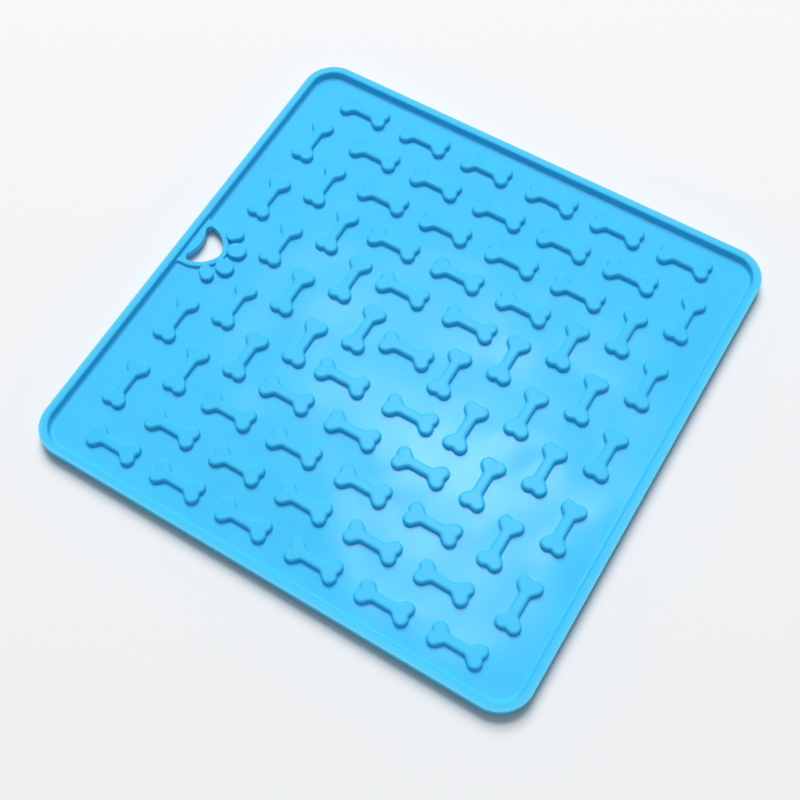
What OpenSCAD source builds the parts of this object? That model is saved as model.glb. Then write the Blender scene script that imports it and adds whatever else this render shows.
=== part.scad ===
// Square silicone lick mat for a pet, lying face up on a table.
// One flat sheet carries a raised rim, a field of raised bones, a paw whose palm is the hanging hole,
// and shallow suction cups underneath. Origin: middle of the mat, on the table. +Z is up.
// The paw lies at the middle of the -X side, and its toes point to +X.

/* [Mat] */
// Side of the square mat
mat_side = 205; // [195:1:230]
// Radius of the mat's four corners
corner_r = 13; // [9:0.5:20]
// Thickness of the flat sheet
sheet_t = 1.6; // [1.2:0.1:3]

/* [Rim] */
// Height of the rim above the floor of the tray
rim_h = 2.8; // [2.2:0.1:4]
// Width of the rim where it meets the floor
rim_w = 3.3; // [2.6:0.1:4.5]
// How far the rim's inner side leans back over its height
rim_draft = 0.3; // [0.2:0.1:0.8]
// Rounding along the rim's two top edges
rim_edge_r = 0.4; // [0.3:0.1:0.8]

/* [Bones] */
// Length of a bone at its foot
bone_l = 21.8; // [17:0.1:24]
// Width of a bone over its knobs
bone_w = 10.2; // [9.4:0.1:11.6]
// Radius of a knob
knob_r = 3; // [2.6:0.1:3.4]
// Width of the shank between the knobs
shank_w = 4.6; // [4:0.1:5.6]
// Height of a bone above the floor
bone_h = 2; // [1.8:0.1:3]

/* [Bone layout] */
// Clear floor between the middle bone's ends and the nearest standing bones
middle_gap = 2.8; // [1.5:0.1:5]
// Clear floor between the first row and the ends of the standing bones below it
sector_gap = 6; // [3:0.1:8]
// Clear floor between the outermost row and the rim
row_margin = 6.1; // [3:0.1:9]
// Clear floor between the ends of the outermost row and the rim
row_end_margin = 15.6; // [8:0.1:17]
// Clear floor between the outermost column and the rim
column_margin = 10.3; // [5:0.1:13]
// Clear floor between the ends of the outermost column and the rim
column_end_margin = 23.3; // [18:0.1:25]
// How much wider the middle gap of an even row is than its others
even_row_spread = 0.8; // [0:0.1:2]

/* [Hanging hole] */
// Clear land between the rim and the hole
hole_gap = 2.4; // [1.5:0.1:5]
// Width of the hole, square to the rim
hole_w = 11.5; // [10:0.1:14]
// Length of the hole, along the rim
hole_l = 17.6; // [15.5:0.1:20]
// Radius of the hole's two tips
tip_r = 1.7; // [1:0.1:2.2]
// Radius of the palm's round front
bulge_r = 4.5; // [3.5:0.1:5.5]
// Radius of the palm's flanks
flank_r = 12; // [10:0.5:16]
// How far the rim side of the hole dips in towards its middle
hole_dip = 1.8; // [1:0.1:2.6]
// Width of the raised land round the hole
collar_w = 2.3; // [1.2:0.1:3]
// Height of that land above the floor
collar_h = 1.2; // [0.8:0.1:1.9]
// Fillet where the land runs into the rim
land_fillet_r = 2; // [1:0.1:3]

/* [Toes] */
// Height of the toes above the floor
toe_h = 2; // [1.8:0.1:3]
// Length of the two inner toes
inner_toe_l = 8.4; // [7.4:0.1:9.4]
// Width of the two inner toes
inner_toe_w = 7.4; // [6.2:0.1:7.6]
// Direction from the palm to an inner toe, from the paw's axis
inner_toe_angle = 24.5; // [24:0.5:27]
// How far an inner toe is turned from the paw's axis
inner_toe_turn = 15; // [5:1:25]
// Clear land between the hole and an inner toe
toe_gap = 1.6; // [1.2:0.1:3]
// Length of the two outer toes
outer_toe_l = 7.8; // [7:0.1:8.6]
// Width of the two outer toes
outer_toe_w = 5.8; // [5:0.1:6.4]
// Direction from the palm to an outer toe, from the paw's axis
outer_toe_angle = 65.5; // [64:0.5:72]
// How far an outer toe is turned from the paw's axis
outer_toe_turn = 40; // [30:1:50]

/* [Suction cups] */
// Height of a suction cup, from the table to the sheet
cup_h = 1.2; // [1:0.1:2.4]
// Diameter of a cup's lip
cup_d = 13; // [9:0.5:16]
// Diameter of a cup's neck, where it grows out of the sheet
neck_d = 6; // [4:0.5:8]
// Height of the neck
neck_h = 0.3; // [0.2:0.1:0.4]
// Depth of a cup's hollow
dish_h = 0.6; // [0.4:0.1:0.7]
// Width of the flat band that a cup stands on
lip_w = 0.6; // [0.4:0.1:1]
// Thickness of the lip at its edge
lip_t = 0.3; // [0.2:0.05:0.4]
// Distance from the mat's side to the middle of the outermost cups
cup_margin = 20.9; // [14:0.1:28]

/* [Hidden] */
// Rings of bones round the middle one, and steps of the cup lattice from the middle to its edge
rings = 5;
cup_steps = 3;
// Side lean and top rounding that the bones and toes share
detail_draft = 0.25;
detail_edge_r = 1.2;

$fn = 64;
round_steps = 5;
curve_steps = 14;
mat_colour = [0.29, 0.78, 0.97];
detail_colour = [0.33, 0.8, 0.98];
cup_colour = [0.24, 0.7, 0.92];

// Levels
floor_z = cup_h + sheet_t;
half_side = mat_side / 2;
corner_at = half_side - corner_r;
tray_half = half_side - rim_w;

// Bones: knob places, and the rows and columns from the middle out
knob_x = bone_l / 2 - knob_r;
knob_y = bone_w / 2 - knob_r;
first_row_y = bone_l / 2 + sector_gap + bone_w / 2;
last_row_y = tray_half - row_margin - bone_w / 2;
row_step = (last_row_y - first_row_y) / (rings - 1);
first_column_x = bone_l / 2 + middle_gap + bone_w / 2;
last_column_x = tray_half - column_margin - bone_w / 2;
column_step = (last_column_x - first_column_x) / (rings - 1);
row_pitch = (2 * (tray_half - row_end_margin - bone_l / 2) - even_row_spread) / rings;
column_pitch = 2 * (tray_half - column_end_margin - bone_l / 2) / (rings - 1);

// Paw: its own origin is the middle of the palm's round front
palm_back = hole_w - bulge_r;
paw_x = hole_gap + palm_back - tray_half;
tip = [tip_r - palm_back, hole_l / 2 - tip_r];
tip_far = norm(tip);
flank_from_palm = flank_r - bulge_r;
flank_from_tip = flank_r - tip_r;
flank_along = (pow(flank_from_palm, 2) - pow(flank_from_tip, 2) + pow(tip_far, 2)) / (2 * tip_far);
flank_across = sqrt(pow(flank_from_palm, 2) - pow(flank_along, 2));
flank_at = (flank_along * tip + flank_across * [-tip.y, tip.x]) / tip_far;
dip_r = (pow(tip_r - hole_dip, 2) + pow(tip.y, 2) - pow(tip_r, 2)) / (2 * hole_dip);
dip_at = [hole_dip - palm_back - dip_r, 0];
inner_toe_reach = bulge_r + toe_gap + inner_toe_l / 2;
outer_toe_reach = hole_l / 2 + collar_w;

// Cups: a square lattice with every second place used
cup_pitch = (half_side - cup_margin) / cup_steps;

function heading(v) = atan2(v.y, v.x);

function arc(at, r, from, to, steps) =
    [for (i = [0:steps]) let (a = from + (to - from) * i / steps) at + r * [cos(a), sin(a)]];

function flipped(points) = [for (i = [len(points) - 1:-1:0]) [points[i].x, -points[i].y]];

// Half the cross-section of a raised detail, from its middle line out to its foot
function half_section(half_w, h) = concat(
    [[0, 0], [half_w, 0]],
    arc([half_w - detail_draft - detail_edge_r, h - detail_edge_r], detail_edge_r, 0, 90, round_steps),
    [[0, h]]
);

// Cross-section of the rim, measured inward from the mat's side
rim_section = concat(
    [[0, 0]],
    arc([rim_edge_r, rim_h - rim_edge_r], rim_edge_r, 180, 90, round_steps),
    arc([rim_w - rim_draft - rim_edge_r, rim_h - rim_edge_r], rim_edge_r, 90, 0, round_steps),
    [[rim_w, 0]]
);

// Front of the palm, from the middle of the bulge round to the top of the upper tip, grown by a margin
function palm_front(grow) = concat(
    arc([0, 0], bulge_r + grow, 0, heading(-flank_at), curve_steps / 2),
    arc(flank_at, flank_r + grow, heading(-flank_at), heading(tip - flank_at), curve_steps),
    arc(tip, tip_r + grow, heading(tip - flank_at), 90, 2)
);

// Back of the palm, from the top of the upper tip to the middle of the dip
palm_back_curve = concat(
    arc(tip, tip_r, 90, 180 + heading(tip - dip_at), curve_steps / 2),
    arc(dip_at, dip_r, heading(tip - dip_at), 0, curve_steps / 2)
);

palm_half = concat(palm_front(0), palm_back_curve);
palm_outline = concat(palm_half, flipped(palm_half));

// Land round the palm: the grown front, run back to the rim with a fillet at each side
land_y = hole_l / 2 + collar_w;
land_back = -palm_back - hole_gap;
land_half = concat(
    palm_front(collar_w),
    arc([land_back + land_fillet_r, land_y + land_fillet_r], land_fillet_r, 270, 180, round_steps),
    [[land_back - rim_draft, land_y + land_fillet_r]]
);
land_outline = concat(land_half, flipped(land_half));

// Bars run along +X. A half bar lies on the +Y side of its middle line.
module bar(section, length)
    rotate([90, 0, 90]) linear_extrude(length) polygon(section);

module pad_disc(r, h)
    rotate_extrude() polygon(half_section(r, h));

module bone()
    for (end = [0, 1], side = [0, 1])
        mirror([end, 0, 0]) mirror([0, side, 0]) {
            bar(half_section(shank_w / 2, bone_h), knob_x);
            translate([knob_x, -knob_y, 0]) {
                pad_disc(knob_r, bone_h);
                rotate([0, 0, 135]) bar(half_section(knob_r, bone_h), knob_y * sqrt(2));
            }
        }

module toe_pad(length, width) {
    straight = (length - width) / 2;
    for (end = [0, 1], side = [0, 1])
        mirror([end, 0, 0]) mirror([0, side, 0])
            bar(half_section(width / 2, toe_h), straight);
    for (end = [-1, 1])
        translate([end * straight, 0, 0]) pad_disc(width / 2, toe_h);
}

module on_floor()
    translate([0, 0, floor_z]) children();

module on_paw()
    translate([paw_x, 0, floor_z]) children();

module inner_toe(side)
    color(detail_colour) on_paw()
        translate(inner_toe_reach * [cos(inner_toe_angle), side * sin(inner_toe_angle), 0])
            rotate([0, 0, side * inner_toe_turn]) toe_pad(inner_toe_l, inner_toe_w);

module outer_toe(side)
    color(detail_colour) on_paw()
        translate(outer_toe_reach * [cos(outer_toe_angle), side * sin(outer_toe_angle), 0])
            rotate([0, 0, side * outer_toe_turn]) toe_pad(outer_toe_l, outer_toe_w);

module base_sheet()
    color(mat_colour) translate([0, 0, cup_h]) linear_extrude(sheet_t) difference() {
        union() {
            square([mat_side, 2 * corner_at], center = true);
            square([2 * corner_at, mat_side], center = true);
            for (x = [-1, 1], y = [-1, 1])
                translate(corner_at * [x, y]) circle(corner_r);
        }
        translate([paw_x, 0]) polygon(palm_outline);
    }

module rim_side()
    on_floor() translate([-corner_at, -half_side, 0]) bar(rim_section, 2 * corner_at);

module rim_corner()
    on_floor() translate([corner_at, -corner_at, 0]) rotate([0, 0, -90]) rotate_extrude(angle = 90)
        polygon([for (p = rim_section) [corner_r - p.x, p.y]]);

module raised_rim()
    color(mat_colour) for (quarter = [0:3])
        rotate([0, 0, 90 * quarter]) {
            rim_side();
            rim_corner();
        }

module hole_collar()
    color(mat_colour) difference() {
        on_paw() linear_extrude(collar_h) difference() {
            polygon(land_outline);
            polygon(palm_outline);
        }
        rotate([0, 0, -90]) rim_side();
        for (side = [-1, 1]) {
            inner_toe(side);
            outer_toe(side);
        }
    }

// A row k from the middle holds k + 1 bones, lying along X. An even row is a little wider at its middle.
module bone_row(k, side)
    color(detail_colour) on_floor() for (i = [0:k]) {
        step = i - k / 2;
        spread = k % 2 == 0 ? 0 : sign(step) * even_row_spread / 2;
        translate([step * row_pitch + spread, side * (first_row_y + (k - 1) * row_step), 0]) bone();
    }

// A column k from the middle holds k bones, standing along Y. The last one in the west makes room for the paw.
module bone_column(k, side)
    color(detail_colour) on_floor() for (i = [1:k]) {
        step = i - (k + 1) / 2;
        if (!(side < 0 && k == rings && step == 0))
            translate([side * (first_column_x + (k - 1) * column_step), step * column_pitch, 0])
                rotate([0, 0, 90]) bone();
    }

module centre_bone()
    color(detail_colour) on_floor() bone();

// Cross-section of a cup: flat band, lip, flared skirt, neck, and the hollow as an arc
function cup_section() =
    let (
        lip_r = cup_d / 2,
        dish_r = lip_r - lip_w,
        bowl_r = (pow(dish_r, 2) + pow(dish_h, 2)) / (2 * dish_h),
        bowl_angle = asin(dish_r / bowl_r)
    ) concat(
        [[lip_r, 0], [lip_r, lip_t], [neck_d / 2, cup_h - neck_h], [neck_d / 2, cup_h], [0, cup_h]],
        arc([0, dish_h - bowl_r], bowl_r, 90, 90 - bowl_angle, round_steps)
    );

// Every second place of the lattice has a cup. The place under the paw has none.
module cup_row(j)
    color(cup_colour) for (i = [-cup_steps:cup_steps])
        if ((i + j) % 2 != 0 && !(i == -cup_steps && j == 0))
            translate(cup_pitch * [i, j, 0]) rotate_extrude() polygon(cup_section());

base_sheet();
raised_rim();
hole_collar();
inner_toe(1);  // inner_toe_north
inner_toe(-1);  // inner_toe_south
outer_toe(1);  // outer_toe_north
outer_toe(-1);  // outer_toe_south
centre_bone();
for (k = [1:rings]) {
    bone_row(k, 1);
    bone_row(k, -1);
    bone_column(k, 1);
    bone_column(k, -1);
}
for (j = [-cup_steps:cup_steps])
    cup_row(j);
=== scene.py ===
# %% [markdown]
# A square lick mat: a shallow tray of sky-blue silicone, moulded in one shot. Raised bones cover its floor,
# a paw stands at the middle of one side, and the paw's palm is the hole that the mat hangs from. Small
# suction cups grow out of the underside. This lesson dresses the measured model of the mat: each of its
# pieces gets a finer mesh with the soft edges of a moulding, and a silicone finish.
#
# The first step loads the measured model as a fixed frame. Every size below starts from its boxes, so the
# finer meshes land where the measured pieces are.

# %% The fixed frame
from collections import namedtuple
from math import acos, atan2, cos, degrees, pi, radians, sin, sqrt, tan

import bmesh
import bpy
from mathutils import Matrix, Vector
from mathutils.geometry import delaunay_2d_cdt


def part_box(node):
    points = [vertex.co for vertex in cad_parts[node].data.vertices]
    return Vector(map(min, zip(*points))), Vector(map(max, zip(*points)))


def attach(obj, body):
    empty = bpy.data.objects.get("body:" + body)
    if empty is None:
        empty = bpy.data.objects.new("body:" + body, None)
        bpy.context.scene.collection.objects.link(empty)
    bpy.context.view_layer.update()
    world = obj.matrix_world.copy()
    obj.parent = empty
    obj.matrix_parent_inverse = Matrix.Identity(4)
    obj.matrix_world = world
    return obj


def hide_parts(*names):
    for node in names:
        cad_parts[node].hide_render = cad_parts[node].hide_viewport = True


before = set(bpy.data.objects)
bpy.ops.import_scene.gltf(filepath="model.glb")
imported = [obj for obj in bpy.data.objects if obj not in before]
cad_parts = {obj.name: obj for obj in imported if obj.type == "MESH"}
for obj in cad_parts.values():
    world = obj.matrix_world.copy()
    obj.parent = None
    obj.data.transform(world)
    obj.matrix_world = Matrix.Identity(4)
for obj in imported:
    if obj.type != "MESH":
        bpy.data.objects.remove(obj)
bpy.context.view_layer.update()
MM = 0.001

# %% [markdown]
# The levels of the mat, from the table up: the cups' lips stand at zero, the sheet starts where the cups
# end, the tray's floor is the top of the sheet, and the rim is the highest line.

# %% Levels
sheet_low, sheet_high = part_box("base_sheet")
underside = sheet_low.z
tray_floor = sheet_high.z
half_side = sheet_high.x
rim_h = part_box("raised_rim")[1].z - tray_floor
print("underside, floor and rim height, mm:", [round(z / MM, 2) for z in (underside, tray_floor, rim_h)])

# %% [markdown]
# Every form on this mat is an outline that a cutter could follow: a chain of arcs that run into each other
# without a corner, with straight stretches between some of them. Such a chain has a handy property. Grown
# or shrunk by a distance, each arc keeps its centre and its angles, and only its radius changes. So one
# chain gives a whole family of rings with equally many points, and quads join ring to ring.
#
# An arc that bulges out has turn 1 and grows with the outline. One that dents in has turn -1 and shrinks.

# %% Chains of arcs
Arc = namedtuple("Arc", "x y radius start end turn steps")


def ring(chain, grow=0.0):
    """Points of the chain, grown outward by a distance."""
    points = []
    for arc in chain:
        radius = arc.radius + arc.turn * grow
        for i in range(arc.steps + 1):
            angle = radians(arc.start + (arc.end - arc.start) * i / arc.steps)
            points.append(Vector((arc.x + radius * cos(angle), arc.y + radius * sin(angle))))
    return points


def flipped_x(chain):
    """The chain seen in a mirror that stands across X, still running anticlockwise."""
    return [a._replace(x=-a.x, start=180 - a.end, end=180 - a.start) for a in reversed(chain)]


def flipped_y(chain):
    """The chain seen in a mirror that stands across Y, still running anticlockwise."""
    return [a._replace(y=-a.y, start=-a.end, end=-a.start) for a in reversed(chain)]


# %% [markdown]
# A section says how the rings climb. Each of its points is a pair: how far the ring is drawn in from the
# foot of the outline, and how high it lies. A bare corner between two faces would look cut with a knife,
# so sections are made of arcs too.

# %% Sections of arcs
def curve(x, z, radius, start, end, steps):
    """Points on an arc of a section, from one angle to another."""
    angles = [radians(start + (end - start) * i / steps) for i in range(steps + 1)]
    return [(x + radius * cos(a), z + radius * sin(a)) for a in angles]


# %% [markdown]
# Four small helpers turn rings into a solid: one adds a ring of vertices, one joins rings by quads, one
# fills an outline with triangles and leaves out a hole, and one writes the result as an object. The fill
# uses a constrained Delaunay triangulation, which keeps the outline's edges and takes extra points where
# the surface needs them.

# %% From rings to a solid
# Points closer than half a thousandth of a millimetre are one point
WELD = 0.0005 * MM


def add_ring(mesh, points, z):
    """One ring of vertices at a height."""
    return [mesh.verts.new((p.x, p.y, z)) for p in points]


def join_rings(mesh, rings, closed=False):
    """Quads from each ring to the next, and from the last to the first where the section is closed."""
    pairs = list(zip(rings, rings[1:]))
    if closed:
        pairs.append((rings[-1], rings[0]))
    for lower, upper in pairs:
        for i in range(len(lower)):
            j = (i + 1) % len(lower)
            mesh.faces.new((lower[i], lower[j], upper[j], upper[i]))


# What the triangulation keeps: the faces inside the outline, with its hole left open
INSIDE_WITH_HOLES = 2


def fill(mesh, outline, hole, height, extra=()):
    """Triangles between an outline and the hole in it. height gives z for a point."""
    loops = [list(range(len(outline))), list(range(len(outline), len(outline) + len(hole)))]
    given = [*outline, *hole, *extra]
    points, _, faces, _, _, _ = delaunay_2d_cdt(given, [], loops, INSIDE_WITH_HOLES, WELD)
    corners = [mesh.verts.new((p.x, p.y, height(p))) for p in points]
    for face in faces:
        mesh.faces.new([corners[i] for i in face])


def finished(name, mesh):
    """Welds the mesh, turns its faces outward, smooths it and links it as an object."""
    bmesh.ops.remove_doubles(mesh, verts=mesh.verts, dist=WELD)
    bmesh.ops.recalc_face_normals(mesh, faces=mesh.faces)
    for face in mesh.faces:
        face.smooth = True
    data = bpy.data.meshes.new(name)
    mesh.to_mesh(data)
    mesh.free()
    piece = bpy.data.objects.new(name, data)
    bpy.context.collection.objects.link(piece)
    print(f"{name}: {len(data.vertices)} vertices, {len(data.polygons)} faces")
    return piece


# %% [markdown]
# The bone. Two round knobs stand at each end, with a soft notch between them, and flanks at 45 degrees run
# in to the shank with a fillet. The bone mirrors in both axes, so a quarter of the outline is enough, and
# it takes three arcs. Points set by hand would do too, but arcs stay smooth with fewer numbers.

# %% Outline of a bone
bone_low, bone_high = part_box("centre_bone")
bone_l = bone_high.x - bone_low.x
bone_w = bone_high.y - bone_low.y
bone_h = bone_high.z - tray_floor
knob_r = 3 * MM
shank_w = 4.6 * MM
notch_r = 0.7 * MM
shank_fillet_r = 1.0 * MM
knob_x = bone_l / 2 - knob_r
knob_y = bone_w / 2 - knob_r
notch_x = sqrt((knob_r + notch_r) ** 2 - knob_y ** 2)
notch_angle = degrees(atan2(knob_y, notch_x))
corner_x = knob_x - knob_r * sqrt(2) - knob_y + shank_w / 2
shank_fillet_x = corner_x - shank_fillet_r * tan(pi / 8)
shank_fillet_y = shank_w / 2 + shank_fillet_r
bone_quarter = [
    Arc(knob_x + notch_x, 0, notch_r, 180, 180 - notch_angle, -1, 3),
    Arc(knob_x, knob_y, knob_r, -notch_angle, 135, 1, 11),
    Arc(shank_fillet_x, shank_fillet_y, shank_fillet_r, -45, -90, -1, 3),
]
bone_upper = bone_quarter + flipped_x(bone_quarter)
bone_chain = bone_upper + flipped_y(bone_upper)
print("a bone's ring has", len(ring(bone_chain)), "points")

# %% [markdown]
# The section of a bone or toe. The top is well rounded, because a dog's tongue works on it and because a
# sharp edge would tear as the mat leaves its mould, and a small fillet joins its foot to the floor. A flat
# lip a few hundredths of a millimetre wide ends the fillet, so that its shading runs on into the floor,
# and below it the solid dips into the sheet. The mesh is closed underneath, out of sight.
#
# A bevel modifier on an extruded outline could round the edge too. Rings that shrink along a section give
# the edge and the fillet a radius each, and stay clean in the narrow notch.

# %% Section of a bone or toe
foot_lean = 0.25 * MM
foot_fillet_r = 0.35 * MM
lip = 0.03 * MM
lip_lift = 0.002 * MM
root_depth = 0.1 * MM
root_flare = 4 * lip


def pad_section(height, edge_r):
    """Section of a raised pad, from its root in the sheet over its rounded edge to its top."""
    edge_x = foot_lean + edge_r
    edge_z = height - edge_r
    run = sqrt((edge_r + foot_fillet_r) ** 2 - (foot_fillet_r - edge_z) ** 2)
    touch = degrees(atan2(foot_fillet_r - edge_z, run))
    fillet_x = edge_x - run
    fillet = curve(fillet_x, foot_fillet_r + lip_lift, foot_fillet_r, -90, -touch, 4)
    edge = curve(edge_x, edge_z, edge_r, 180 - touch, 90, 8)
    root = [(fillet_x - root_flare, -root_depth), (fillet_x - lip, lip_lift)]
    return root + fillet + edge[1:] + [(edge_x + lip, height)]


def pad(name, chain, height, edge_r, place=Matrix.Identity(4)):
    """A raised pad on the tray's floor, closed at the top and at its root."""
    mesh = bmesh.new()
    section = pad_section(height, edge_r)
    rings = [add_ring(mesh, ring(chain, -inset), tray_floor + z) for inset, z in section]
    join_rings(mesh, rings)
    mesh.faces.new(rings[0])
    mesh.faces.new(rings[-1])
    mesh.transform(place)
    return finished(name, mesh)


bone_edge_r = 1.1 * MM
bone = pad("bone pattern", bone_chain, bone_h, bone_edge_r)

# %% [markdown]
# Nodes come up in three places: in the tree that makes the lines of copies, in the finishes and in the
# light. A node is always added the same way, so two helpers do it.

# %% Helpers for nodes
def set_inputs(tree, node, values):
    """Each value goes to the input of its name or number. An output of another node is linked to it."""
    for key, value in values.items():
        if isinstance(value, bpy.types.NodeSocket):
            tree.links.new(value, node.inputs[key])
        else:
            node.inputs[key].default_value = value


def add_node(tree, kind, values=None, **settings):
    """A new node with its settings and its inputs."""
    node = tree.nodes.new(kind)
    for name, value in settings.items():
        setattr(node, name, value)
    set_inputs(tree, node, values or {})
    return node


# %% [markdown]
# Seventy bones cover the floor: one in its middle, and the others in five square rings round that one. Each
# side of a ring is a straight line of equal bones, and so is each row of suction cups underneath. An array
# modifier could repeat them, but it can't widen one gap or leave out one place. So one node tree makes them
# all: it sets points on a line, widens the middle gap where the mould does, leaves out the middle place
# where the paw is, puts a copy of a pattern on each point and makes the copies real.

# %% A node tree for a line of copies
# A place is the middle one if it lies less than this share of a step from the middle
middle_share = 0.25


def copies_tree():
    """Geometry Nodes: a pattern repeated along a straight line."""
    tree = bpy.data.node_groups.new("line of copies", "GeometryNodeTree")
    kinds = {"Pattern": "Object", "First": "Vector", "Step": "Vector", "Count": "Int",
             "Half spread": "Vector", "Turn": "Float", "Leave out middle": "Bool", "Finish": "Material"}
    for name, kind in kinds.items():
        tree.interface.new_socket(name, in_out="INPUT", socket_type="NodeSocket" + kind)
    tree.interface.new_socket("Geometry", in_out="OUTPUT", socket_type="NodeSocketGeometry")
    given = add_node(tree, "NodeGroupInput").outputs

    def maths(operation, *values):
        node = add_node(tree, "ShaderNodeMath", dict(enumerate(values)), operation=operation)
        return node.outputs["Value"]

    middle = maths("DIVIDE", maths("SUBTRACT", given["Count"], 1), 2)
    index = add_node(tree, "GeometryNodeInputIndex").outputs["Index"]
    from_middle = maths("SUBTRACT", index, middle)
    is_middle = maths("LESS_THAN", maths("ABSOLUTE", from_middle), middle_share)
    left_out = maths("MULTIPLY", is_middle, given["Leave out middle"])
    apart = {"Vector": given["Half spread"], "Scale": maths("SIGN", from_middle)}
    spread = add_node(tree, "ShaderNodeVectorMath", apart, operation="SCALE")
    turn = add_node(tree, "ShaderNodeCombineXYZ", {"Z": given["Turn"]})
    pattern = add_node(tree, "GeometryNodeObjectInfo", {"Object": given["Pattern"]})

    on_line = {"Count": given["Count"], "Start Location": given["First"], "Offset": given["Step"]}
    line = add_node(tree, "GeometryNodeMeshLine", on_line, mode="OFFSET")
    placed = add_node(tree, "GeometryNodeSetPosition", {
        "Geometry": line.outputs["Mesh"],
        "Offset": spread.outputs["Vector"],
    })
    dropped = add_node(tree, "GeometryNodeDeleteGeometry", {
        "Geometry": placed.outputs["Geometry"],
        "Selection": left_out,
    })
    copies = add_node(tree, "GeometryNodeInstanceOnPoints", {
        "Points": dropped.outputs["Geometry"],
        "Instance": pattern.outputs["Geometry"],
        "Rotation": turn.outputs["Vector"],
    })
    real = add_node(tree, "GeometryNodeRealizeInstances", {"Geometry": copies.outputs["Instances"]})
    finish = add_node(tree, "GeometryNodeSetMaterial", {
        "Geometry": real.outputs["Geometry"],
        "Material": given["Finish"],
    })
    add_node(tree, "NodeGroupOutput", {"Geometry": finish.outputs["Geometry"]})
    print("tree for a line of copies:", len(tree.nodes), "nodes")
    return tree


line_of_copies = copies_tree()


def row_of(name, **settings):
    """A plain mesh of copies in a line. Each setting is one of the tree's inputs."""
    row = bpy.data.objects.new(name, bpy.data.meshes.new(name))
    bpy.context.collection.objects.link(row)
    modifier = row.modifiers.new("copies", "NODES")
    modifier.node_group = line_of_copies
    values = {"Half spread": (0, 0, 0), "Turn": 0.0, "Leave out middle": False, **settings}
    for socket in line_of_copies.interface.items_tree:
        if socket.in_out == "INPUT":
            modifier[socket.identifier] = values[socket.name]
    evaluated = row.evaluated_get(bpy.context.evaluated_depsgraph_get())
    data = bpy.data.meshes.new_from_object(evaluated)
    row.modifiers.remove(modifier)
    row.data = data
    print(f"{name}: {len(data.polygons)} faces")
    return row


# %% [markdown]
# The finish. Cast silicone is satin: light goes into it a little way and comes back blue, and a soft shine
# lies over that. Two things keep it from looking like paint. The skin copies the fine blasted grain of the
# mould, and a sheet this thin never lies quite flat, so the edge of a reflection wanders over it.
#
# The tint, the gloss and both bumps come from noise in the object's own coordinates, so no picture and no
# unwrapped mesh is needed. On the rim, a paler colour is mixed in where its attribute asks for it: a painted
# highlight.

# %% Silicone
# The rim's painted highlight: the attribute that holds its strength, and the paler colour that it mixes in
PAINTED_HIGHLIGHT = "painted_highlight"
painted_highlight_colour = (0.21, 0.78, 1, 1)
darkest_tint = 0.97
palest_tint = 1.03
gloss_change = 0.05
silicone_ior = 1.41
silicone_specular = 0.27

# Each noise: how many waves lie in a metre, and how many finer layers lie over them
tint_noise = (28, 3)
gloss_noise = (160, 4)
sway_noise = (14, 2)
grain_noise = (2600, 2)


def silicone(name, colour, roughness, grain, sway, painted_highlight=False):
    """A satin silicone. grain and sway are the depths of the fine and the broad bumps, in metres."""
    material = bpy.data.materials.new(name)
    material.use_nodes = True
    tree = material.node_tree
    place = add_node(tree, "ShaderNodeTexCoord").outputs["Object"]

    def noise(scale, detail):
        values = {"Vector": place, "Scale": scale, "Detail": detail}
        return add_node(tree, "ShaderNodeTexNoise", values).outputs["Fac"]

    darkest = (*[darkest_tint * c for c in colour], 1)
    palest = (*[min(1, palest_tint * c) for c in colour], 1)
    tint = add_node(tree, "ShaderNodeMixRGB", {
        "Fac": noise(*tint_noise),
        "Color1": darkest,
        "Color2": palest,
    })
    # Painted highlight: where the attribute asks, a paler colour stands in for light on the rim's edge
    if painted_highlight:
        edge = add_node(tree, "ShaderNodeAttribute", attribute_name=PAINTED_HIGHLIGHT)
        tint = add_node(tree, "ShaderNodeMixRGB", {
            "Fac": edge.outputs["Fac"],
            "Color1": tint.outputs["Color"],
            "Color2": painted_highlight_colour,
        })
    gloss = add_node(tree, "ShaderNodeMapRange", {
        "Value": noise(*gloss_noise),
        "To Min": roughness - gloss_change,
        "To Max": roughness + gloss_change,
    }, name="uneven gloss")
    broad = add_node(tree, "ShaderNodeBump", {"Height": noise(*sway_noise), "Distance": sway})
    fine = add_node(tree, "ShaderNodeBump", {
        "Height": noise(*grain_noise),
        "Distance": grain,
        "Normal": broad.outputs["Normal"],
    })
    set_inputs(tree, tree.nodes["Principled BSDF"], {
        "Base Color": tint.outputs["Color"],
        "Roughness": gloss.outputs["Result"],
        "Normal": fine.outputs["Normal"],
        "IOR": silicone_ior,
        "Specular IOR Level": silicone_specular,
    })
    print(f"{name}: {len(tree.nodes)} nodes")
    return material


small_sway = 0.3 * MM
sheet_silicone = silicone(
    "sheet silicone", colour=(0.058, 0.575, 0.97), roughness=0.14, grain=0.004 * MM, sway=2.4 * MM
)
relief_silicone = silicone(
    "relief silicone", colour=(0.053, 0.575, 0.97), roughness=0.26, grain=0.006 * MM, sway=small_sway
)
rim_silicone = silicone(
    "rim silicone", colour=(0.055, 0.575, 0.97), roughness=0.2, grain=0.004 * MM, sway=small_sway,
    painted_highlight=True
)
# The cups take a darker blue than the rest of the moulding: painted shade for the underside.
cup_silicone = silicone(
    "cup silicone", colour=(0.03, 0.5, 0.88), roughness=0.22, grain=0.001 * MM, sway=small_sway
)


def settle(piece, material, slot, *nodes):
    """Gives a piece its finish and body, and hides the measured nodes that it stands for.
    slot is not used.
    """
    piece.data.materials.clear()
    piece.data.materials.append(material)
    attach(piece, "root")
    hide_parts(*nodes)


# %% [markdown]
# The bones take their places. A ring's rows lie along X and its columns stand along Y. The first and the
# last bone of a line come from the box of the measured line, and the others stand evenly between them. A
# row with an even number of bones has none in its middle, and the gap there is a little wider.

# %% Rows and columns of bones
rings_of_bones = 5
even_row_spread = 0.8 * MM


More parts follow.
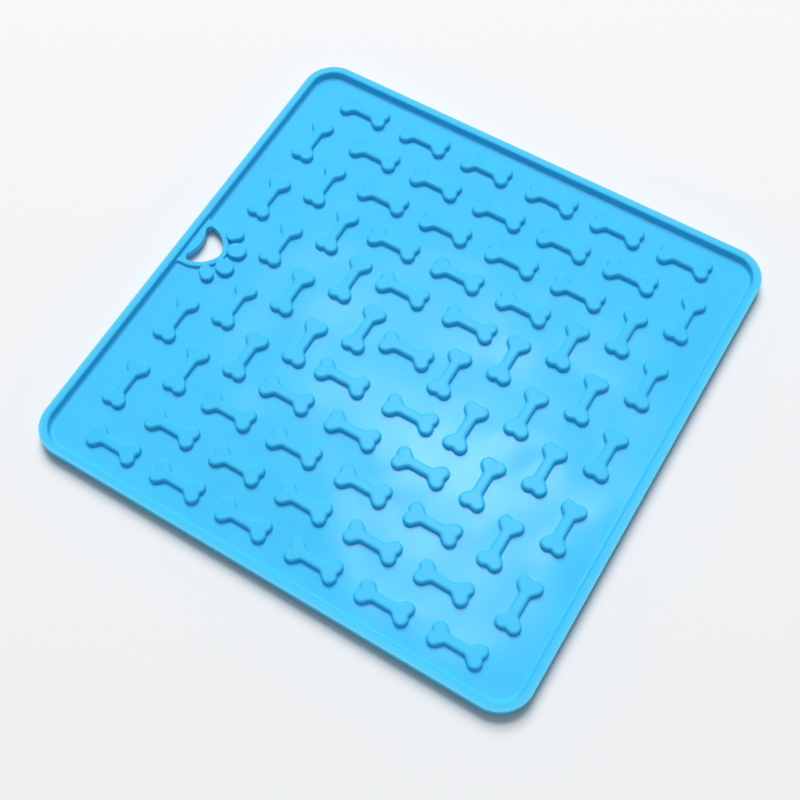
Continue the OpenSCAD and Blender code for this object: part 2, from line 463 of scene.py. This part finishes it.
def bone_line(name, count, along, spread, gap):
    """The bones of one measured line. along is 0 for a row on X and 1 for a column on Y, spread is how much
    wider the middle gap is, and gap leaves out the bone in the middle."""
    low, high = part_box(name)
    first = (low + high) / 2
    first[along] = low[along] + bone_l / 2
    first.z = 0
    step = Vector((0, 0, 0))
    step[along] = (high[along] - low[along] - bone_l - spread) / (count - 1) if count > 1 else 0
    half_spread = Vector((0, 0, 0))
    half_spread[along] = spread / 2
    first += half_spread
    piece = row_of(name + "_relief", Pattern=bone, First=first, Step=step, Count=count, Turn=along * pi / 2,
                   Finish=relief_silicone, **{"Half spread": half_spread, "Leave out middle": gap})
    settle(piece, relief_silicone, "silicone_relief", name)


bone_line("centre_bone", count=1, along=0, spread=0.0, gap=False)
for k in range(1, rings_of_bones + 1):
    in_row = k + 1
    row_spread = even_row_spread if in_row % 2 == 0 else 0.0
    for side in ("north", "south"):
        bone_line(f"{side}_row_{k}", count=in_row, along=0, spread=row_spread, gap=False)
    for side in ("east", "west"):
        by_paw = side == "west" and k == rings_of_bones
        bone_line(f"{side}_column_{k}", count=k, along=1, spread=0.0, gap=by_paw)

# %% [markdown]
# The rim runs all the way round on one chain of four corner arcs. Its section is closed: up the outer
# face, over two rounded edges, down the leaning inner face and out on the floor with a soft fillet. A curve
# with a bevel could make it too, but these rings use the outline that the sheet has.
#
# The rim is painted paler towards the outside, most of all on its outer edge. This painted highlight stands
# in for the light that the edge catches. Each vertex keeps how strong the painted highlight is in an
# attribute, which the rim's finish reads.

# %% Rim
corner_r = 13 * MM
rim_w = 3.3 * MM
rim_lean = 0.3 * MM
rim_edge_r = 0.25 * MM
rim_inner_edge_r = 0.75 * MM
rim_fillet_r = 1.2 * MM
# How far in from the mat's side the rim's painted highlight fades out
painted_highlight_w = 2.8 * MM
square_chain = [
    Arc(x * (half_side - corner_r), y * (half_side - corner_r), corner_r, start, start + 90, 1, 16)
    for x, y, start in ((1, 1, 0), (-1, 1, 90), (-1, -1, 180), (1, -1, 270))
]


def rim_section():
    """Section of the rim: how far in from the mat's side, and how high over the floor."""
    lean = degrees(atan2(rim_lean, rim_h - rim_inner_edge_r))
    inner_x = rim_w - rim_inner_edge_r
    outer_edge = curve(rim_edge_r, rim_h - rim_edge_r, rim_edge_r, 180, 90, 5)
    inner_edge = curve(inner_x, rim_h - rim_inner_edge_r, rim_inner_edge_r, 90, lean, 6)
    wall_x, wall_z = inner_edge[-1]
    reach = rim_fillet_r + (wall_z - rim_fillet_r) * sin(radians(lean))
    fillet_x = wall_x + reach / cos(radians(lean))
    fillet = curve(fillet_x, rim_fillet_r + lip_lift, rim_fillet_r, 180 + lean, 270, 7)
    root = [(fillet_x + lip, lip_lift), (fillet_x + root_flare, -root_depth), (rim_edge_r, -root_depth)]
    top = [(rim_edge_r + lip, rim_h), ((rim_edge_r + inner_x) / 2, rim_h), (inner_x - lip, rim_h)]
    return [(0, 0), (0, lip)] + outer_edge + top + inner_edge + fillet + root


# Strength of the rim's painted highlight on the outer face, on the outer edge and on the top, and how fast
# it fades
side_highlight_strength = 0.1
edge_highlight_strength = 0.9
top_highlight_strength = 0.42
highlight_strength_fall = 1.5


def highlight_strength(inset, z):
    """How strong the rim's painted highlight is at a point of its section, from 0 to 1."""
    if inset == 0:
        return side_highlight_strength
    if inset < rim_edge_r and z > rim_h / 2:
        return edge_highlight_strength
    return top_highlight_strength * max(0, 1 - inset / painted_highlight_w) ** highlight_strength_fall


rim_mesh = bmesh.new()
painted_highlight = rim_mesh.verts.layers.float.new(PAINTED_HIGHLIGHT)
rim_rings = []
for inset, z in rim_section():
    rim_rings.append(add_ring(rim_mesh, ring(square_chain, -inset), tray_floor + z))
    for corner in rim_rings[-1]:
        corner[painted_highlight] = highlight_strength(inset, z)
join_rings(rim_mesh, rim_rings, closed=True)
rim = finished("rim", rim_mesh)
settle(rim, rim_silicone, "silicone_relief", "raised_rim")

# %% [markdown]
# The palm of the paw is the hanging hole. Its front is a round bulge with two long flanks that end in
# small round tips, and its back dips in along the rim. The raised land round it has the same front,
# grown by the land's width, and runs into the rim with a fillet on each side.
#
# The bulge and the tip lie inside the flank's circle and touch it, so its centre is as far from theirs as
# their radii differ. That puts it where two circles cross. It could be set by hand, but worked out like this
# the outline stays smooth when a size is changed.

# %% Outlines of the paw
hole_gap = 2.4 * MM
hole_w = 11.5 * MM
hole_l = 17.6 * MM
tip_r = 1.7 * MM
bulge_r = 4.5 * MM
flank_r = 12 * MM
hole_dip = 1.8 * MM
land_w = 2.3 * MM
land_fillet_r = 2 * MM

palm_back = hole_w - bulge_r
paw_x = hole_gap + palm_back - half_side + rim_w
tip = Vector((tip_r - palm_back, hole_l / 2 - tip_r))
from_palm = flank_r - bulge_r
from_tip = flank_r - tip_r
flank_along = (from_palm ** 2 - from_tip ** 2 + tip.length_squared) / (2 * tip.length)
flank_across = sqrt(from_palm ** 2 - flank_along ** 2)
flank = (flank_along * tip + flank_across * Vector((-tip.y, tip.x))) / tip.length
dip_r = ((tip_r - hole_dip) ** 2 + tip.y ** 2 - tip_r ** 2) / (2 * hole_dip)
dip = Vector((hole_dip - palm_back - dip_r, 0))


def heading(v):
    """Direction of a vector in degrees."""
    return degrees(atan2(v.y, v.x))


def palm_front(grow, tip_end):
    """Half of the palm's front, from the middle of the bulge round to an angle on the tip."""
    return [
        Arc(paw_x, 0, bulge_r + grow, 0, heading(-flank), 1, 8),
        Arc(paw_x + flank.x, flank.y, flank_r + grow, heading(-flank), heading(tip - flank), 1, 14),
        Arc(paw_x + tip.x, tip.y, tip_r + grow, heading(tip - flank), tip_end, 1, 10),
    ]


palm_half = palm_front(0, 180 + heading(tip - dip))
palm_half += [Arc(paw_x + dip.x, 0, dip_r, heading(tip - dip), 0, -1, 8)]
palm_chain = palm_half + flipped_y(palm_half)
land_y = hole_l / 2 + land_w + land_fillet_r
land_foot_x = paw_x - palm_back - hole_gap + land_fillet_r
land_back_x = rim_w / 2 - half_side
land_half = palm_front(land_w, 90)
land_half += [
    Arc(land_foot_x, land_y, land_fillet_r, 270, 180, -1, 6),
    Arc(land_back_x, land_y, radius=0, start=0, end=0, turn=0, steps=1),
]
land_chain = land_half + flipped_y(land_half)
print("points round the palm and the land:", len(ring(palm_chain)), len(ring(land_chain)))

# %% [markdown]
# The suction cups underneath stand in a lattice like the dark fields of a chessboard. The photograph doesn't
# show them, and only faint round marks on the tray's floor tell where they may be. One place stays empty,
# because the hanging hole is there. The sheet's sinks need these places, so they come before the sheet.

# %% Places of the cups
def middle_y(node):
    """Y of the middle of a measured node."""
    low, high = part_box(node)
    return (low.y + high.y) / 2


cup_low, cup_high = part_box("cup_row_1")
cup_d = cup_high.y - cup_low.y
cup_rows = 7
cup_steps = cup_rows // 2
cup_pitch = (middle_y("cup_row_1") - middle_y(f"cup_row_{cup_rows}")) / (1 - cup_rows)
cup_places = [
    Vector((i * cup_pitch, j * cup_pitch))
    for j in range(-cup_steps, cup_steps + 1)
    for i in range(-cup_steps, cup_steps + 1)
    if (i + j) % 2 != 0 and (i, j) != (-cup_steps, 0)
]
print("cups:", len(cup_places))

# %% [markdown]
# The sheet is one flat plate with the palm cut out. Where a suction cup grows below, the silicone is
# thicker and shrinks more as it cools, which leaves a faint round sink on the tray's floor, a few hundredths
# of a millimetre deep. Only the shine shows it.
#
# A boolean could cut the palm out, but the fill takes the palm's ring as a hole and adds rings of points
# for the sinks. It stops a few hundredths of a millimetre before each edge. Smooth shading averages the
# normals of the faces that meet at a corner, and on a big flat fill a corner shared with the side wall would
# bend the shading over the whole width of the tray's floor.
#
# A side wall's rings go into the silicone as they leave the wall: the mat's outline shrinks for that, and
# the palm's outline grows.

# %% Sheet
sink_r = 3.4 * MM
sink_depth = 0.03 * MM
sink_ring_shares = (0.0, 0.25, 0.45, 0.62, 0.8, 1.0)
sink_turns = 24
under_edge_r = 0.4 * MM
under_inset = under_edge_r + lip


def sink(p):
    """Height of the tray's floor at a point, with the sinks over the cups."""
    nearest = min((p - place).length for place in cup_places) / sink_r
    return tray_floor - sink_depth * (1 - nearest ** 2) ** 2 if nearest < 1 else tray_floor


sink_points = [
    place + sink_r * share * Vector((cos(turn * 2 * pi / sink_turns), sin(turn * 2 * pi / sink_turns)))
    for place in cup_places
    for share in sink_ring_shares
    for turn in range(sink_turns if share else 1)
]
sheet_mesh = bmesh.new()
for chain, inward in ((square_chain, -1), (palm_chain, 1)):
    wall = [(lip, tray_floor), (0, tray_floor), (0, tray_floor - lip)]
    wall += curve(under_edge_r, underside + under_edge_r, under_edge_r, 180, 270, 4)
    wall.append((under_inset, underside))
    join_rings(sheet_mesh, [add_ring(sheet_mesh, ring(chain, inward * inset), z) for inset, z in wall])
fill(sheet_mesh, ring(square_chain, -lip), ring(palm_chain, lip), sink, sink_points)
fill(sheet_mesh, ring(square_chain, -under_inset), ring(palm_chain, under_inset), lambda p: underside)
sheet = finished("sheet", sheet_mesh)
settle(sheet, sheet_silicone, "silicone_sheet", "base_sheet")

# %% [markdown]
# The land round the hole has an outer side like a low rim and an inner side that falls straight into the
# hole, flush with the sheet's cut. Its top is filled between the two, because the outlines part at the back.

# %% Land round the hole
land_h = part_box("hole_collar")[1].z - tray_floor
land_edge_r = 0.7 * MM
land_foot_fillet_r = 0.35 * MM
hole_edge_r = 0.35 * MM


def land_side():
    """Section of the land's outer side, from its root up to its top."""
    fillet = curve(-land_foot_fillet_r, land_foot_fillet_r + lip_lift, land_foot_fillet_r, -90, 0, 4)
    edge = curve(land_edge_r, land_h - land_edge_r, land_edge_r, 180, 90, 4)
    root = [(-land_foot_fillet_r - root_flare, -root_depth), (-land_foot_fillet_r - lip, lip_lift)]
    return root + fillet + edge + [(land_edge_r + lip, land_h)]


def hole_side():
    """Section of the land's side in the hole, from the sheet's cut up to the land's top."""
    edge = curve(hole_edge_r, land_h - hole_edge_r, hole_edge_r, 180, 90, 4)
    return [(0, 0)] + edge + [(hole_edge_r + lip, land_h)]


land_mesh = bmesh.new()
outer_side = land_side()
for chain, inward, section in ((land_chain, -1, outer_side), (palm_chain, 1, hole_side())):
    rows = [add_ring(land_mesh, ring(chain, inward * inset), tray_floor + z) for inset, z in section]
    join_rings(land_mesh, rows)
root_x = outer_side[0][0]
top_x = outer_side[-1][0]
fill(land_mesh, ring(land_chain, -top_x), ring(palm_chain, hole_edge_r + lip), lambda p: tray_floor + land_h)
fill(land_mesh, ring(land_chain, -root_x), ring(palm_chain), lambda p: tray_floor - root_depth)
land = finished("land", land_mesh)
settle(land, sheet_silicone, "silicone_relief", "hole_collar")

# %% [markdown]
# Four toes stand round the palm's front. Each is a stadium outline, two half circles and two straights,
# set by its direction from the palm and turned a little from the paw's axis. They are made as the bones
# are. The south pair mirrors the north pair, so two shapes are enough.

# %% Toes
toe_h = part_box("inner_toe_north")[1].z - tray_floor
toe_gap = 1.6 * MM
toe_edge_r = 0.8 * MM
Toe = namedtuple("Toe", "length width reach direction turn")
inner_toe_l = 8.4 * MM
inner_reach = bulge_r + toe_gap + inner_toe_l / 2
outer_reach = hole_l / 2 + land_w
inner_toe = Toe(length=inner_toe_l, width=7.4 * MM, reach=inner_reach, direction=24.5, turn=15)
outer_toe = Toe(length=7.8 * MM, width=5.8 * MM, reach=outer_reach, direction=65.5, turn=40)


def toe_pad(name, shape, side):
    """One toe. side is 1 for the north pair and -1 for the south pair."""
    radius = shape.width / 2
    straight = (shape.length - shape.width) / 2
    chain = [Arc(straight, 0, radius, -90, 90, 1, 18), Arc(-straight, 0, radius, 90, 270, 1, 18)]
    angle = radians(shape.direction)
    place = Matrix.Translation((paw_x + shape.reach * cos(angle), side * shape.reach * sin(angle), 0))
    turned = Matrix.Rotation(radians(side * shape.turn), 4, "Z")
    toe = pad(name + "_pad", chain, toe_h, toe_edge_r, place @ turned)
    settle(toe, relief_silicone, "silicone_relief", name)


for side, word in ((1, "north"), (-1, "south")):
    toe_pad("inner_toe_" + word, inner_toe, side)
    toe_pad("outer_toe_" + word, outer_toe, side)

# %% [markdown]
# A suction cup is a revolved shape: a short neck, a skirt that flares to a thin lip, and a shallow hollow
# below. A screw modifier could turn its section, and rings round one centre do the same. One cup is the
# pattern, and the tree of copies fills each row of the lattice.

# %% Suction cups
cup_neck_r = 3 * MM
neck_h = 0.3 * MM
dish_h = 0.6 * MM
lip_w = 0.6 * MM
lip_t = 0.3 * MM
neck_fillet_r = 0.12 * MM
cup_turns = 48


def cup_outline():
    """Half of a cup's section, from its hollow round to its neck: distance from its axis, and height."""
    lip_r = cup_d / 2
    dish_r = lip_r - lip_w
    bowl_r = (dish_r ** 2 + dish_h ** 2) / (2 * dish_h)
    bowl_angle = degrees(acos(dish_r / bowl_r))
    hollow = curve(0, dish_h - bowl_r, bowl_r, 90, bowl_angle, 8)[1:]
    edge_r = lip_t / 2
    edge = curve(lip_r - edge_r, edge_r, edge_r, -90, 60, 5)
    neck_z = underside - neck_h
    neck = curve(cup_neck_r + neck_fillet_r, neck_z + neck_fillet_r, neck_fillet_r, 240, 180, 3)
    foot = curve(cup_neck_r + neck_fillet_r, underside - neck_fillet_r, neck_fillet_r, 180, 90, 3)
    return hollow + edge + neck + foot + [(cup_neck_r + neck_fillet_r, underside + root_depth)]


cup_mesh = bmesh.new()
circle = [Arc(0, 0, 0, 0, 360 - 360 / cup_turns, 1, cup_turns - 1)]
cup_rings = [add_ring(cup_mesh, ring(circle, radius), z) for radius, z in cup_outline()]
join_rings(cup_mesh, cup_rings)
cup_mesh.faces.new(cup_rings[-1])
crown = cup_mesh.verts.new((0, 0, dish_h))
for i in range(cup_turns):
    cup_mesh.faces.new((crown, cup_rings[0][i], cup_rings[0][(i + 1) % cup_turns]))
cup = finished("cup pattern", cup_mesh)

for j in range(1, cup_rows + 1):
    low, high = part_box(f"cup_row_{j}")
    count = round((high.x - low.x - cup_d) / (2 * cup_pitch)) + 1
    first = Vector((low.x + cup_d / 2, (low.y + high.y) / 2, 0))
    piece = row_of(f"cup_row_{j}_cups", Pattern=cup, First=first, Step=Vector((2 * cup_pitch, 0, 0)),
                   Count=count, Finish=cup_silicone)
    settle(piece, cup_silicone, "silicone_cups", f"cup_row_{j}")

for pattern in (bone, cup):
    bpy.data.objects.remove(pattern)

# %% [markdown]
# The mat lies on a plain pale table. Near the mat the table is lit like anything else and takes the mat's
# shadow. Further out, where only a low view reaches, it fades into the colour of the background for the
# camera alone, so that no edge or grey horizon shows behind the mat and no light is added to it. A curved
# backdrop could hide the horizon too, but it would throw light back at the mat.

# %% Table
backdrop_colour = (0.97, 0.98, 1, 1)
table_colour = (0.93, 0.92, 0.93, 1)
table_roughness = 0.9
table_specular = 0.1
fade_start = 0.35
fade_end = 1.3
table_reach = 4.0
table = bpy.data.objects.new("table", bpy.data.meshes.new("table"))
bpy.context.collection.objects.link(table)
corners = [(x * table_reach, y * table_reach, 0) for x, y in ((-1, -1), (1, -1), (1, 1), (-1, 1))]
table.data.from_pydata(corners, [], [(0, 1, 2, 3)])
paper = bpy.data.materials.new("pale table")
paper.use_nodes = True
tree = paper.node_tree
lit = tree.nodes["Principled BSDF"]
set_inputs(tree, lit, {
    "Base Color": table_colour,
    "Roughness": table_roughness,
    "Specular IOR Level": table_specular,
})
place = add_node(tree, "ShaderNodeTexCoord").outputs["Object"]
distance = add_node(tree, "ShaderNodeVectorMath", {0: place}, operation="LENGTH")
fade = add_node(tree, "ShaderNodeMapRange", {
    "Value": distance.outputs["Value"],
    "From Min": fade_start,
    "From Max": fade_end,
}, interpolation_type="SMOOTHSTEP")
from_camera = add_node(tree, "ShaderNodeLightPath").outputs["Is Camera Ray"]
faded = add_node(tree, "ShaderNodeMath", {0: fade.outputs["Result"], 1: from_camera}, operation="MULTIPLY")
backdrop = add_node(tree, "ShaderNodeEmission", {"Color": backdrop_colour})
both = add_node(tree, "ShaderNodeMixShader", {
    "Fac": faded.outputs["Value"],
    1: lit.outputs["BSDF"],
    2: backdrop.outputs["Emission"],
})
set_inputs(tree, tree.nodes["Material Output"], {"Surface": both.outputs["Shader"]})
table.data.materials.append(paper)
print("table reaches", table_reach, "m and fades from", fade_start, "to", fade_end, "m")

# %% [markdown]
# One large soft lamp, slightly warm, stands behind and to the left of the mat, high up, and gives the shadow
# on the two near sides. It doesn't show in the silicone's shine, which has lamps of its own below. A sun
# lamp with a wide angle could do it too. An area lamp has a size and a distance, as a studio lamp has, and
# the soft edge of the shadow follows from them.

# %% Light
def lamp(name, place, facing, width, depth, brightness):
    """An oblong soft lamp. brightness is how bright it would look itself, where white paper is 1."""
    light = bpy.data.lights.new(name, "AREA")
    light.shape = "RECTANGLE"
    light.size = width
    light.size_y = depth
    light.energy = brightness * pi * width * depth
    soft = bpy.data.objects.new(name, light)
    bpy.context.collection.objects.link(soft)
    soft.location = place
    soft.rotation_euler = facing.to_track_quat("-Z", "Y").to_euler()
    share = brightness * width * depth * (place.z / place.length) * -facing.dot(place.normalized())
    print(f"{name}: lights white paper to {share / (pi * place.length_squared):.3f}")
    return soft


key_colour = (1, 0.96, 0.95)
key_share = 0.69
key_distance = 5.0
key_side = 2.95
key_bearing = Vector((-0.54, 0.84)).normalized()
key_height = radians(53)
key_way = Vector((*(key_bearing * cos(key_height)), sin(key_height)))
key_brightness = key_share * pi * key_distance ** 2 / (key_side ** 2 * sin(key_height))
key = lamp("key", key_distance * key_way, -key_way, key_side, key_side, key_brightness)
key.visible_glossy = False
key.data.color = key_colour

# %% [markdown]
# A weak even light from all round, a little blue, fills the rest. It could come from more lamps, but the
# world's own light has no edge that could show. For a ray that the camera sends, and for one that shines
# off or goes through a piece, the surroundings are nearly white instead, as in a white tent.

# %% Surroundings
fill_colour = (0.76, 0.95, 1, 1)
fill_strength = 0.27
white_strength = 1
world = bpy.data.worlds.new("studio")
bpy.context.scene.world = world
world.use_nodes = True
tree = world.node_tree
ray = add_node(tree, "ShaderNodeLightPath").outputs
rays = [ray["Is Camera Ray"], ray["Is Glossy Ray"], ray["Is Transmission Ray"]]
seen = add_node(tree, "ShaderNodeMath", {0: rays[0], 1: rays[1]}, operation="MAXIMUM").outputs["Value"]
seen = add_node(tree, "ShaderNodeMath", {0: seen, 1: rays[2]}, operation="MAXIMUM").outputs["Value"]
strength = add_node(tree, "ShaderNodeMapRange", {
    "Value": seen,
    "To Min": fill_strength,
    "To Max": white_strength,
})
colour = add_node(tree, "ShaderNodeMixRGB", {
    "Fac": seen,
    "Color1": fill_colour,
    "Color2": backdrop_colour,
})
set_inputs(tree, tree.nodes["Background"], {
    "Strength": strength.outputs["Result"],
    "Color": colour.outputs["Color"],
})
print("surroundings:", fill_strength, "for the fill and", white_strength, "where they are seen")
bpy.context.scene.view_settings.view_transform = "Standard"

# %% [markdown]
# The camera looks down on the mat from the corner nearest to the viewer, about 65 degrees above the table,
# and is tipped a little to one side, as in the photograph. Its place and aim count from the middle of the
# rim's top, because the rim's four corners are the points that the photograph shows best.

# %% Camera
camera = bpy.data.objects.new("camera", bpy.data.cameras.new("camera"))
bpy.context.collection.objects.link(camera)
bpy.context.scene.camera = camera
lens = 54.13
sensor_width = 36
frame_shift = 0.0375
camera_roll = radians(-5.23)
camera_offset = Vector((114.7, -183.4, 398.1)) * MM
aim_offset = Vector((6.0, -35.7, 0)) * MM
rim_top = Vector((0, 0, tray_floor + rim_h))
camera.location = rim_top + camera_offset
camera_aim = rim_top + aim_offset
look = (camera_aim - camera.location).to_track_quat("-Z", "Y").to_matrix()
camera.rotation_euler = (look @ Matrix.Rotation(camera_roll, 3, "Z")).to_euler()
camera.data.lens = lens
camera.data.sensor_width = sensor_width
camera.data.shift_x = frame_shift
camera.data.shift_y = frame_shift
print("camera stands from the rim's top, mm:", round(camera_offset.length / MM, 1))

# %% [markdown]
# The shine. A lamp shows in the floor of the tray where a mirror lying there would show it. So each shine
# lamp is set from the patch that it lights up: the camera is mirrored in the floor, and the lamp hangs level
# on the line from that mirrored point through the patch, grown as that line is.

# %% Shine lamps
def shine(name, low, high, lamp_height, brightness):
    """A level lamp whose reflection covers the floor between two corners of a patch, in millimetres."""
    low = Vector(low) * MM
    high = Vector(high) * MM
    middle = Vector((*((low + high) / 2), tray_floor))
    mirrored = Vector((camera.location.x, camera.location.y, 2 * tray_floor - camera.location.z))
    line = middle - mirrored
    grown = (lamp_height + line.z) / line.z
    size = (high - low) * grown
    lamp(name, mirrored + grown * line, Vector((0, 0, -1)), size.x, size.y, brightness)


shine("wide shine", low=(-50, -38), high=(74, 30), lamp_height=4.4, brightness=3.1)
shine("middle shine", low=(-28, -47), high=(66, -12), lamp_height=4.2, brightness=5.6)
shine("near shine", low=(24, -73), high=(66, 3), lamp_height=4.0, brightness=7.4)
shine("low shine", low=(28, -104), high=(84, -50), lamp_height=3.8, brightness=3.0)
